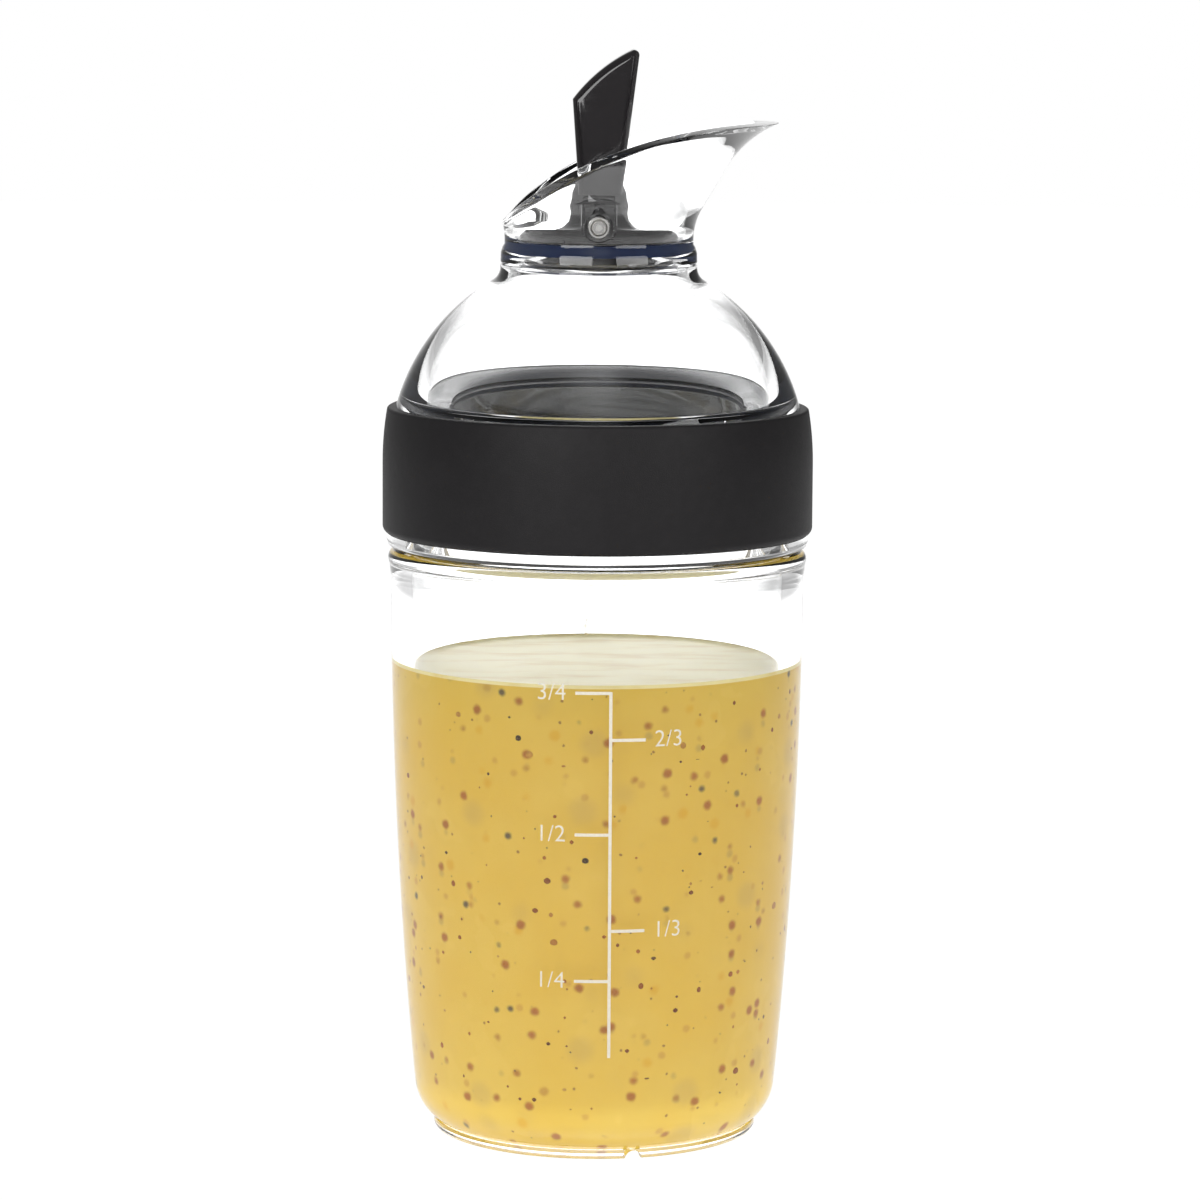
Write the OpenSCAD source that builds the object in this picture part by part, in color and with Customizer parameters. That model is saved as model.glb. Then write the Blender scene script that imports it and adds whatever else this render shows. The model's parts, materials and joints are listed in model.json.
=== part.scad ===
// Salad dressing shaker bottle, in millimetres.
// A tapered clear jar with a screwed on clear dome, a soft grip band round the dome's skirt,
// and a trumpet shaped pour spout that a tilting stopper opens and closes.
// The jar stands on Z = 0, its axis is +Z, and the spout's tip points along +X.

/* [Jar] */
// Outer radius of the jar wall just under its shoulder
jar_r = 33.6; // [33:0.1:34]
// Radius of the long bow of the jar wall, seen from the side
jar_bow_r = 883; // [800:1:1100]
// Radius that rounds the wall into the foot
jar_corner_r = 8; // [7.5:0.1:8.5]
// Thickness of the jar wall
jar_wall = 3.6; // [3:0.1:4]
// Height of the floor inside the jar
jar_floor_z = 4; // [3.6:0.1:4.6]
// Outer radius of the foot ring
foot_r = 26.5; // [26:0.1:26.8]
// Height of the foot ring
foot_h = 1.6; // [1.4:0.1:1.8]
// Width of the foot ring
foot_w = 2.2; // [1.8:0.1:2.6]
// Radius of the arched drain notches in the foot ring
drain_r = 1.4; // [1:0.1:1.4]
// Direction of the first drain notch, from +X
drain_angle = -76; // [-80:1:-60]
// Height of the jar's shoulder
shoulder_z = 95.6; // [95.4:0.1:95.8]
// Outer radius of the bead that runs round the shoulder
bead_r = 34.1; // [34:0.1:34.3]
// Outer radius of the jar's neck
neck_r = 30; // [29.8:0.1:30.2]
// Inner radius of the jar's mouth
mouth_r = 27.4; // [27.2:0.1:27.8]
// Height of the jar's rim
rim_z = 115; // [114.6:0.1:115.1]

/* [Dressing] */
// Height that the dressing fills the jar to
fill_z = 77.1; // [20:0.1:86]

/* [Lid] */
// Gap between the jar's shoulder and the lid's flange
lid_gap = 0.5; // [0.3:0.1:0.7]
// Outer radius of the flange under the grip band
flange_r = 34.3; // [34:0.1:34.8]
// Radius of the dome
dome_r = 34; // [33.9:0.05:34.2]
// Height of the dome's centre
dome_z = 110; // [109.8:0.1:110.2]
// Thickness of the dome's wall
dome_wall = 2.4; // [2:0.1:2.7]
// Inner radius of the skirt, where the thread runs
skirt_bore_r = 31.3; // [31.1:0.1:31.5]
// Radius of the lip that the dressing drains over, inside the dome
drain_lip_r = 24.2; // [24:0.1:25]
// Height of that lip
drain_lip_z = 117.3; // [117.1:0.1:117.8]
// Height where the dome's inside turns into the draining slope
slope_top_z = 122.6; // [122:0.1:123.4]
// Thickness of the gasket between the jar's rim and the lid
gasket_t = 1.1; // [0.9:0.05:1.2]
// Outer radius of the lid's neck, which carries the spout
lid_neck_r = 15.95; // [15.8:0.05:16.2]
// Height of the top of the lid's neck
lid_neck_z = 141.9; // [141.8:0.1:142.1]

/* [Grip band] */
// Outer radius of the grip band
band_r = 35; // [34.8:0.1:35.4]
// Height of the lower edge of the grip band
band_z0 = 98.3; // [98:0.1:98.6]
// Height of the upper edge of the grip band
band_z1 = 118.8; // [118.4:0.1:119.2]
// Radius of the skirt under the grip band
band_seat_r = 32.7; // [32.4:0.1:32.8]

/* [Pour spout] */
// Height of the stopper's pivot, which is also the centre of its round seat
pivot_z = 148.6; // [148.4:0.1:148.8]
// Radius of the round seat that the stopper turns in
seat_r = 14.1; // [14:0.05:14.2]
// Inner radius of the throat under the seat
throat_r = 12.9; // [12.7:0.1:13]
// Outer radius of the spout's waist
waist_r = 15.3; // [15.2:0.05:15.6]
// Angle of the trumpet's straight stretch, from upright
flare_angle = 30; // [28:0.5:32]
// Thickness of the trumpet's wall along its straight stretch
spout_wall = 2.2; // [1.8:0.1:2.4]
// Radius of the curve that the rim is cut to, seen from the side
rim_cut_r = 65; // [63:0.5:68]
// Distance of that curve's centre towards the tip
rim_cut_x = 27; // [26:0.5:28]

/* [Lever and stopper] */
// Width of the lever across the spout
lever_w = 9.6; // [8:0.1:11]
// Radius that rounds the lever's edges
lever_edge_r = 1.3; // [1:0.1:1.5]
// Radius of the curve that flares the lever into its stopper
bell_r = 5.5; // [5:0.1:5.8]
// Radius of the hub round the pivot pin
hub_r = 2.6; // [2.2:0.1:2.7]
// Radius of the pivot pin
pin_r = 1.2; // [1:0.05:1.3]
// Gap between the stopper's seal and its seat
seal_gap = 0.1; // [0.05:0.05:0.2]

/* [Hidden] */
$fn = 96;

clear_plastic = [0.86, 0.91, 0.94, 0.45];
skin_gap = 0.05;
wall_top_z = 91;
wall_foot_z = 7.8;
jar_inner_corner_r = 6;
flange_z = shoulder_z + lid_gap;
ledge_z = rim_z + gasket_t + 2 * skin_gap;
dome_in_r = dome_r - dome_wall;
spigot_r = lid_neck_r - 1.5;
spigot_z = lid_neck_z - 1;
waist_z = pivot_z - 2.6;
stopper_r = seat_r - 0.3;
seal_r = seat_r - seal_gap;

// Points along an arc about a centre, from one angle to another
function arc(centre, r, from, to, steps = 12) =
    [for (i = [0 : steps])
        let (a = from + (to - from) * i / steps)
        [centre.x + r * cos(a), centre.y + r * sin(a)]];

// Half width of a circle of radius r at a height above its centre
function half_chord(r, height) = sqrt(r * r - height * height);

// Direction of a vector, from +X
function angle_of(v) = atan2(v.y, v.x);

// Centre of an arc of radius r from a to b, to the left of the way from a to b
function arc_centre(a, b, r) =
    let (along = (b - a) / norm(b - a), half = norm(b - a) / 2)
    (a + b) / 2 + [-along.y, along.x] * half_chord(r, half);

// Outer radius of the jar wall at a height
function jar_wall_r(z) = jar_r - pow(wall_top_z - z, 2) / (2 * jar_bow_r);

// Points along the jar wall, moved inwards by a thickness
function jar_wall_points(from, to, inwards, steps = 10) =
    [for (i = [0 : steps])
        let (z = from + (to - from) * i / steps)
        [jar_wall_r(z) - inwards, z]];

// The same points in the opposite order
function reversed(points) = [for (i = [len(points) - 1 : -1 : 0]) points[i]];

// Points up the inside of the jar, from the middle of its floor to a height
function jar_inside(top_z, inwards = 0) =
    let (corner_z = jar_floor_z + jar_inner_corner_r,
         corner_x = jar_wall_r(corner_z) - jar_wall - jar_inner_corner_r)
    concat(
        [[0, jar_floor_z + inwards]],
        arc([corner_x, corner_z], jar_inner_corner_r - inwards, -90, 0),
        jar_wall_points(corner_z + 0.5, top_z, jar_wall + inwards));

module jar() {
    bead_round = 1.3;
    bead_z = shoulder_z - bead_round;
    rim_round = 0.8;
    slope_r = 12;
    slope_angle = 16;
    slope_z = shoulder_z - 10;
    slope_x = jar_wall_r(slope_z) - jar_wall - slope_r;
    slope_run = slope_x - mouth_r + slope_r * (2 * cos(slope_angle) - 1);
    slope_end_z = slope_z + 2 * slope_r * sin(slope_angle) + slope_run / tan(slope_angle);
    corner_centre = [jar_wall_r(wall_foot_z) - jar_corner_r, wall_foot_z + 0.5];
    corner_low = -asin((corner_centre.y - foot_h) / jar_corner_r);
    outside = concat(
        foot_ring_points(),
        arc(corner_centre, jar_corner_r, corner_low, 0),
        jar_wall_points(wall_foot_z + 1.5, wall_top_z, 0, 14),
        arc([bead_r - bead_round, bead_z], bead_round, -25, 90, 8),
        [[neck_r + 0.8, shoulder_z], [neck_r, shoulder_z + 0.8]],
        arc([neck_r - rim_round, rim_z - rim_round], rim_round, 0, 90, 6));
    inside = concat(
        jar_inside(slope_z - 0.5),
        arc([slope_x, slope_z], slope_r, 0, slope_angle, 4),
        arc([mouth_r + slope_r, slope_end_z], slope_r, 180 + slope_angle, 180, 4),
        arc([mouth_r + rim_round, rim_z - rim_round], rim_round, 180, 90, 6));
    color(clear_plastic)
    difference() {
        rotate_extrude()
            polygon(concat(outside, reversed(inside)));
        for (turn = [0, 180])
            rotate([0, 0, drain_angle + turn])
                translate([foot_r - foot_w - 1, 0, 0])
                    rotate([0, 90, 0])
                        cylinder(r = drain_r, h = foot_w + 2);
    }
}

// Points round the ring that the jar stands on, from the middle of the jar's underside
function foot_ring_points() =
    let (round = 0.7)
    concat(
        [[0, foot_h - 0.2], [foot_r - foot_w - 0.6, foot_h - 0.2]],
        arc([foot_r - foot_w + round, round], round, 180, 270, 5),
        arc([foot_r - round, round], round, -90, 0, 5),
        [[foot_r, foot_h]]);

module dressing() {
    color("khaki")
    rotate_extrude()
        polygon(concat(jar_inside(fill_z, skin_gap), [[0, fill_z]]));
}

module lid_gasket() {
    inner_r = drain_lip_r + 0.3;
    outer_r = skirt_bore_r - 0.3;
    low = rim_z + skin_gap;
    round = gasket_t / 2;
    color([0.15, 0.18, 0.25])
    rotate_extrude()
        polygon(concat(
            arc([inner_r + round, low + round], round, 90, 270, 8),
            arc([outer_r - round, low + round], round, -90, 90, 8)));
}

// The dome, its draining slope, the skirt that screws on the jar and the neck for the spout
module dome_lid() {
    flange_round = 1.2;
    neck_round = 2.6;
    neck_foot = [lid_neck_r + neck_round,
                 dome_z + half_chord(dome_r + neck_round, lid_neck_r + neck_round)];
    neck_angle = acos(neck_foot.x / (dome_r + neck_round));
    inner_round = 4.6;
    inner_foot = [spigot_r + skin_gap + inner_round,
                  dome_z + half_chord(dome_in_r + inner_round,
                                      spigot_r + skin_gap + inner_round)];
    inner_angle = acos(inner_foot.x / (dome_in_r + inner_round));
    slope_r = half_chord(dome_in_r, slope_top_z - dome_z);
    outside_from = asin((band_z1 - dome_z) / dome_r);
    inside_to = asin((slope_top_z + 0.3 - dome_z) / dome_in_r);
    slope_top = [slope_r - 0.3, slope_top_z - 0.1];
    slope_foot = [drain_lip_r, drain_lip_z];
    slope_round = 14.8;
    slope_centre = arc_centre(slope_top, slope_foot, slope_round);
    color(clear_plastic)
    rotate_extrude()
        polygon(concat(
            [[skirt_bore_r + 0.6, flange_z]],
            arc([flange_r - flange_round, flange_z + flange_round], flange_round, -90, 0, 6),
            [[flange_r, band_z0]],
            [[band_seat_r, band_z0]],
            [[band_seat_r, band_z1]],
            arc([0, dome_z], dome_r, outside_from, neck_angle, 24),
            arc(neck_foot, neck_round, 180 + neck_angle, 180, 6),
            [[lid_neck_r, lid_neck_z]],
            [[spigot_r + skin_gap, lid_neck_z]],
            arc(inner_foot, inner_round, 180, 180 + inner_angle, 6),
            arc([0, dome_z], dome_in_r, inner_angle, inside_to, 20),
            arc(slope_centre, slope_round, angle_of(slope_top - slope_centre),
                angle_of(slope_foot - slope_centre), 8),
            [[drain_lip_r, ledge_z]],
            [[skirt_bore_r, ledge_z]],
            [[skirt_bore_r, flange_z + 0.6]]));
}

// Soft band moulded round the skirt, leaning in towards its upper edge
module grip_band() {
    lean_z = band_z0 + 11.5;
    lean_r = 52;
    top_round = 0.5;
    top_angle = asin((band_z1 - top_round - lean_z) / lean_r);
    low_round = 1.2;
    color([0.12, 0.11, 0.12])
    rotate_extrude()
        polygon(concat(
            [[band_seat_r + skin_gap, band_z0 + skin_gap]],
            arc([band_r - low_round, band_z0 + skin_gap + low_round], low_round, -90, 0, 6),
            arc([band_r - lean_r, lean_z], lean_r, 0, top_angle, 10),
            arc([band_r - lean_r * (1 - cos(top_angle)) - top_round, band_z1 - top_round],
                top_round, 0, 90, 5),
            [[band_seat_r + skin_gap, band_z1]]));
}

// Half outline of the trumpet's outside, moved inwards by a depth
module trumpet(inwards = 0) {
    turn_r = 10;
    bell_turn_r = 18.1;
    straight_z = waist_z + turn_r * sin(flare_angle);
    straight_r = waist_r + turn_r * (1 - cos(flare_angle));
    bell_z = pivot_z + 8.6;
    bell_start_r = straight_r + (bell_z - straight_z) * tan(flare_angle);
    bell_centre = [bell_start_r + bell_turn_r * cos(flare_angle),
                   bell_z - bell_turn_r * sin(flare_angle)];
    collar_r = lid_neck_r;
    translate([-inwards, 0])
        polygon(concat(
            [[inwards, lid_neck_z]],
            [[collar_r - 0.3, lid_neck_z]],
            [[collar_r, lid_neck_z + 0.5]],
            [[collar_r - 0.05, lid_neck_z + 2]],
            [[collar_r - 0.35, lid_neck_z + 2.9]],
            [[waist_r, lid_neck_z + 3.4]],
            arc([waist_r + turn_r, waist_z], turn_r, 180, 180 - flare_angle, 8),
            arc(bell_centre, bell_turn_r, 180 - flare_angle, 106, 14),
            [[inwards, bell_centre.y + bell_turn_r]]));
}

// Half outline of the passage through the spout: throat, round seat and trumpet
module passage() {
    turn_r = 6;
    turn_z = pivot_z + 1;
    bell_turn_r = 17.4;
    straight_r = seat_r + turn_r * (1 - cos(flare_angle));
    straight_z = turn_z + turn_r * sin(flare_angle);
    bell_z = pivot_z + 8.6 + spout_wall * sin(flare_angle);
    bell_start_r = straight_r + (bell_z - straight_z) * tan(flare_angle);
    bell_centre = [bell_start_r + bell_turn_r * cos(flare_angle),
                   bell_z - bell_turn_r * sin(flare_angle)];
    seat_low = -acos(throat_r / seat_r);
    seat_high = 3;
    polygon(concat(
        [[0, spigot_z - 1]],
        [[throat_r + 0.4, spigot_z - 1]],
        [[throat_r + 0.4, spigot_z]],
        [[throat_r, spigot_z + 0.6]],
        arc([0, pivot_z], seat_r, seat_low, seat_high, 10),
        arc([seat_r + turn_r, turn_z], turn_r, 180, 180 - flare_angle, 6),
        arc(bell_centre, bell_turn_r, 180 - flare_angle, 98, 14),
        [[0, bell_centre.y + bell_turn_r + 1]]));
}

// Trumpet spout with its slanted rim, the round seat, the pin holes and the spigot below
module pour_spout() {
    pocket_half_w = 2.8;
    pocket_top_z = pivot_z + 3.8;
    pocket_depth = 0.5;
    sink_r = 2.35;
    sink_y = 14.8;
    rim_cut_z = 100;
    color(clear_plastic)
    difference() {
        intersection() {
            rotate_extrude()
                difference() {
                    union() {
                        trumpet();
                        translate([0, spigot_z])
                            square([spigot_r, lid_neck_z - spigot_z + 1]);
                    }
                    passage();
                }
            translate([rim_cut_x, 0, rim_cut_z])
                rotate([90, 0, 0])
                    cylinder(r = rim_cut_r, h = 80, center = true, $fn = 240);
        }
        // Rounded pocket on each side, where the end of the pin shows
        difference() {
            rotate([90, 0, 0])
                linear_extrude(height = 50, center = true)
                    union() {
                        translate([0, pivot_z])
                            circle(r = pocket_half_w);
                        translate([-pocket_half_w, pivot_z])
                            square([2 * pocket_half_w, pocket_top_z - pivot_z]);
                    }
            rotate_extrude()
                trumpet(pocket_depth);
        }
        translate([0, 0, pivot_z])
            rotate([90, 0, 0])
                cylinder(r = pin_r - 0.02, h = 50, center = true);
        for (side = [-1, 1])
            translate([0, side * (sink_y + 5), pivot_z])
                rotate([90, 0, 0])
                    cylinder(r = sink_r, h = 10, center = true);
    }
}

// Outline of a rectangle with rounded corners, centred
function rounded_rectangle(w, d, r) =
    concat(
        arc([w / 2 - r, d / 2 - r], r, 0, 90, 5),
        arc([r - w / 2, d / 2 - r], r, 90, 180, 5),
        arc([r - w / 2, r - d / 2], r, 180, 270, 5),
        arc([w / 2 - r, r - d / 2], r, 270, 360, 5));

// Upright bar with rounded edges, leaning about a point on one of its flanks.
// side is 1 for the flank towards the tip and -1 for the other one. The bar is a hair wider
// than the lever, so that the crown alone sets the lever's width.
module leaning_bar(side, flank_x, flank_z, lean, spare) {
    depth = 30;
    translate([flank_x, 0, flank_z])
        rotate([0, lean, 0])
            translate([-side * depth / 2, 0, 0])
                linear_extrude(height = 60, center = true)
                    polygon(rounded_rectangle(depth, lever_w + spare, lever_edge_r));
}

// The lever above its stopper: two flanks that spread upwards under a slanted, crowned top
module handle() {
    flank_z = 10;
    crown_r = 26.4;
    crown_centre = [16.8, 4.2];
    corner_r = 0.9;
    corner_centre = [5.45, 27.03];
    corner_end = 116;
    intersection() {
        leaning_bar(1, 4.22, flank_z, 7.1, 0.02);
        leaning_bar(-1, -3.64, flank_z, -4, 0.04);
        translate([crown_centre.x, 0, crown_centre.y])
            rotate([90, 0, 0])
                rotate_extrude()
                    polygon(concat(
                        [[0, -lever_w / 2]],
                        arc([crown_r - lever_edge_r, lever_edge_r - lever_w / 2],
                            lever_edge_r, -90, 0, 5),
                        arc([crown_r - lever_edge_r, lever_w / 2 - lever_edge_r],
                            lever_edge_r, 0, 90, 5),
                        [[0, lever_w / 2]]));
        rotate([90, 0, 0])
            linear_extrude(height = 2 * lever_w, center = true)
                polygon(concat(
                    [[-9, 5.2], [9, 5.2]],
                    arc(corner_centre, corner_r, -7, corner_end, 8),
                    [[-9, corner_centre.y + corner_r * sin(corner_end)]]));
    }
}

// Half outline of the stopper under the lever: bell, disc, groove for the seal and foot
module stopper_outline() {
    bell_centre = [4.4 + bell_r, bell_r - 0.1];
    groove_r = 10.6;
    foot_r = 11.8;
    polygon(concat(
        [[0, bell_centre.y + 2.4], [3.4, bell_centre.y + 2.4], [3.9, bell_centre.y + 1.2]],
        arc(bell_centre, bell_r, 180, 270, 10),
        [[11.8, -0.1], [12.05, -0.35], [stopper_r - 0.5, -3]],
        [[groove_r, -3], [groove_r, -5.4]],
        [[foot_r, -5.4], [foot_r, -6.2], [foot_r - 0.4, -6.6], [0, -6.6]]));
}

// Black lever and stopper, which turn about the pin as one piece
module lever() {
    hub_half = 13.6;
    color([0.1, 0.09, 0.1])
    translate([0, 0, pivot_z])
    difference() {
        union() {
            handle();
            rotate_extrude()
                stopper_outline();
            rotate([90, 0, 0])
                cylinder(r = hub_r, h = 2 * hub_half, center = true);
        }
        rotate([90, 0, 0])
            cylinder(r = pin_r + 0.05, h = 40, center = true);
    }
}

// Soft ring in the stopper's groove, rounded to turn in the seat
module stopper_seal() {
    high = -3 - skin_gap;
    low = -5.4 + skin_gap;
    inner_r = 10.6 + skin_gap;
    lip_low = -5;
    color([0.13, 0.2, 0.36])
    translate([0, 0, pivot_z])
    rotate_extrude()
        polygon(concat(
            [[inner_r, high]],
            arc([0, 0], seal_r, asin(high / seal_r), asin(lip_low / seal_r), 8),
            [[half_chord(seal_r, lip_low) - 0.7, low]],
            [[inner_r, low]]));
}

module pivot_pin() {
    pin_half = 15;
    chamfer = 0.2;
    color("silver")
    translate([0, 0, pivot_z])
    rotate([90, 0, 0])
    rotate_extrude()
        polygon([[0, -pin_half], [pin_r - chamfer, -pin_half], [pin_r, chamfer - pin_half],
                 [pin_r, pin_half - chamfer], [pin_r - chamfer, pin_half], [0, pin_half]]);
}

jar();
dressing();
lid_gasket();
dome_lid();
grip_band();
pour_spout();
lever();
stopper_seal();
pivot_pin();
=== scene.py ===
"""Salad dressing shaker bottle: the looks round the packed parts, laid out as an add-on."""

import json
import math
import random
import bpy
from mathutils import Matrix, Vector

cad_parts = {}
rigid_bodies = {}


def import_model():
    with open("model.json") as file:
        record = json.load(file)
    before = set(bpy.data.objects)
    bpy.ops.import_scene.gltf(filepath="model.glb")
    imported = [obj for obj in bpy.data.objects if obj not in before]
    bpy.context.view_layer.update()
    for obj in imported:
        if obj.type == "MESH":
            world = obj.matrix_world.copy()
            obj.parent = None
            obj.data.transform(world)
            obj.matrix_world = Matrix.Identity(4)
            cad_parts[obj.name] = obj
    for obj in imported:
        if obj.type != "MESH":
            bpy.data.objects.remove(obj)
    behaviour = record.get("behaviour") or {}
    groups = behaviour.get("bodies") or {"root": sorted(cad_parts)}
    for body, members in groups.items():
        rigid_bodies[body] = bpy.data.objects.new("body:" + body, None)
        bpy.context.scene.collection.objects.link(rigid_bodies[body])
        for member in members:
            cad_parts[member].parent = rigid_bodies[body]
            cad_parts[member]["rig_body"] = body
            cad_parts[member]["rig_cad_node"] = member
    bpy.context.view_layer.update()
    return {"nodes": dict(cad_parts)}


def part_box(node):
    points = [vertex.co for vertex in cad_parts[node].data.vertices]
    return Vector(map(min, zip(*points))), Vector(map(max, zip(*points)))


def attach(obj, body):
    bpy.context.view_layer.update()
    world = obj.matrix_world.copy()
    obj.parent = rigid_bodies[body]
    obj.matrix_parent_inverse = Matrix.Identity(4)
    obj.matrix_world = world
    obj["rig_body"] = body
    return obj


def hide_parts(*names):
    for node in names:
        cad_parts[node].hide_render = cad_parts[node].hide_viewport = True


bl_info = {
    "name": "Dressing Shaker Bottle",
    "version": (1, 0, 0),
    "blender": (4, 5, 0),
    "location": "View3D > Sidebar > Shaker",
    "description": "A clear dressing shaker with its dressing, dome lid, pour spout and lever",
    "category": "Add Mesh",
}

import bpy
from mathutils import Matrix, Vector

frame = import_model()
MM = 0.001
SPIN_STEPS = 160
SMOOTH_ANGLE = math.radians(32)
SKIN_GAP = 0.05 * MM


def length(name, description, default):
    """A size that a user would change, in metres."""
    return bpy.props.FloatProperty(
        name=name, description=description, default=default, unit="LENGTH", precision=5)


def colour(name, description, default):
    """A colour that a user would change."""
    return bpy.props.FloatVectorProperty(
        name=name, description=description, default=default, size=3, min=0, max=1,
        subtype="COLOR")


class ShakerJarSizes(bpy.types.PropertyGroup):
    """Sizes of the clear jar and of what is in it and on it."""

    radius: length("Radius", "Outer radius of the wall under the shoulder", 33.6 * MM)
    bow: length("Bow", "Radius of the long bow of the wall, seen from the side", 883 * MM)
    wall: length("Wall", "Thickness of the wall", 3.6 * MM)
    corner: length("Corner", "Radius that rounds the wall into the foot", 8 * MM)
    floor_z: length("Floor", "Height of the floor inside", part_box("dressing")[0].z - SKIN_GAP)
    fill_z: length("Fill", "Height of the dressing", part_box("dressing")[1].z)
    foot_radius: length("Foot radius", "Outer radius of the foot ring", 26.5 * MM)
    foot_width: length("Foot width", "Width of the foot ring", 2.2 * MM)
    foot_height: length("Foot height", "Height of the foot ring", 1.6 * MM)
    notch: length("Notch", "Radius of the arched drain notches", 1.4 * MM)
    shoulder_z: length("Shoulder", "Height of the shoulder", 95.6 * MM)
    bead: length("Bead", "Outer radius of the bead round the shoulder", 34.1 * MM)
    neck: length("Neck", "Outer radius of the threaded neck", 30 * MM)
    mouth: length("Mouth", "Inner radius of the mouth", 28.3 * MM)
    rim_z: length("Rim", "Height of the rim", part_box("jar")[1].z)
    seed: length("Seed", "Usual radius of a mustard seed", 0.8 * MM)
    line: length("Line", "Width of the printed lines", 0.5 * MM)


class ShakerLidSizes(bpy.types.PropertyGroup):
    """Sizes of the clear dome lid."""

    flange: length("Flange", "Outer radius of the flange under the band", 34.3 * MM)
    band_seat: length("Band seat", "Radius of the skirt, a hair inside the band", 32.8 * MM)
    band_z0: length("Band foot", "Height of the flange, a hair inside the band", 98.4 * MM)
    band_z1: length("Band top", "Height of the band's upper edge", 118.8 * MM)
    dome: length("Dome", "Outer radius of the dome", 34 * MM)
    dome_z: length("Dome centre", "Height of the dome's centre", 110 * MM)
    hollow: length("Hollow", "Radius of the curve that the inside is turned from", 23 * MM)
    hollow_x: length("Hollow offset", "Distance of its centre from the axis", 5.4 * MM)
    hollow_z: length("Hollow centre", "Height of its centre", 117.2 * MM)
    slope_z: length("Slope top", "Height where the inside turns into the slope", 119.4 * MM)
    lip: length("Drain lip", "Radius of the lip at the foot of the slope", 24.2 * MM)
    lip_z: length("Drain lip height", "Height of that lip", 117.3 * MM)
    ledge_z: length("Ledge", "Height of the ledge, a hair inside the gasket", 116.1 * MM)
    bore: length("Skirt bore", "Inner radius of the threaded skirt", 31.3 * MM)
    neck: length("Neck", "Outer radius of the neck for the spout", 15.95 * MM)
    neck_z: length("Neck top", "Height of the top of that neck", 141.9 * MM)
    neck_foot: length("Neck foot", "Radius that rounds that neck into the dome", 2.6 * MM)
    neck_inside: length("Neck inside", "Radius that rounds the same corner inside", 4.6 * MM)


class ShakerSpoutSizes(bpy.types.PropertyGroup):
    """Sizes of the trumpet spout, its rim cut and its pin pockets."""

    pivot_z: length("Pivot", "Height of the lever's pivot", 148.6 * MM)
    seat: length("Seat", "Radius of the round seat", 14.1 * MM)
    throat: length("Throat", "Inner radius under the seat", 12.9 * MM)
    waist: length("Waist", "Outer radius of the waist", 15.3 * MM)
    wall: length("Wall", "Thickness of the straight stretch", 2.2 * MM)
    cut: length("Rim cut", "Radius of the curve that the rim is cut to", 65 * MM)
    cut_x: length("Rim cut side", "Distance of that curve's centre towards the tip", 27 * MM)
    cut_z: length("Rim cut height", "Height of that curve's centre", 100 * MM)
    rim_round: length("Rim round", "How far the rim's edges are rounded", 0.55 * MM)
    rim_turn: length("Rim turn", "How far the rim turns square to the wall at the sides", 0.9 * MM)
    pocket: length("Pocket", "Half width of the pocket round the pin", 2.8 * MM)
    pocket_depth: length("Pocket depth", "Depth of the pocket", 0.5 * MM)
    pin: length("Pin", "Radius of the pivot pin", 1.2 * MM)
    sink: length("Sink", "Radius of the recess at the pin's end", 2.35 * MM)
    spigot: length("Spigot", "How far the spout reaches into the lid's neck", 1 * MM)
    flare: bpy.props.FloatProperty(
        name="Flare", description="Angle of the straight stretch from upright",
        default=math.radians(30), subtype="ANGLE", unit="ROTATION")


class ShakerThreadSizes(bpy.types.PropertyGroup):
    """Sizes of the three-start screw thread."""

    lead: length("Lead", "Rise of the thread in one turn", 12 * MM)
    depth: length("Depth", "Height of the ridges", 1 * MM)
    width: length("Width", "Width of a ridge at its root", 1.5 * MM)
    starts: bpy.props.IntProperty(
        name="Starts", description="Number of thread ridges side by side", default=3, min=1)


class ShakerColours(bpy.types.PropertyGroup):
    """Colours of the finishes."""

    clear: colour("Clear plastic", "Tint of the jar, lid and spout", (0.995, 0.998, 1.0))
    dressing: colour("Dressing", "The dressing itself", (0.80, 0.54, 0.066))
    fleck: colour("Flecks", "Seed coats and spice in the dressing", (0.40, 0.12, 0.015))
    print_white: colour("Print", "Ink of the measuring scale", (0.90, 0.86, 0.76))
    band: colour("Grip band", "Soft band round the lid", (0.012, 0.011, 0.012))
    gasket: colour("Gasket", "Ring between the jar and the lid", (0.006, 0.009, 0.02))
    seal: colour("Seal", "Ring round the stopper", (0.02, 0.035, 0.095))
    lever: colour("Lever", "Lever and stopper", (0.012, 0.0105, 0.0115))
    steel: colour("Steel", "Pivot pin", (0.78, 0.77, 0.75))


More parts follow.
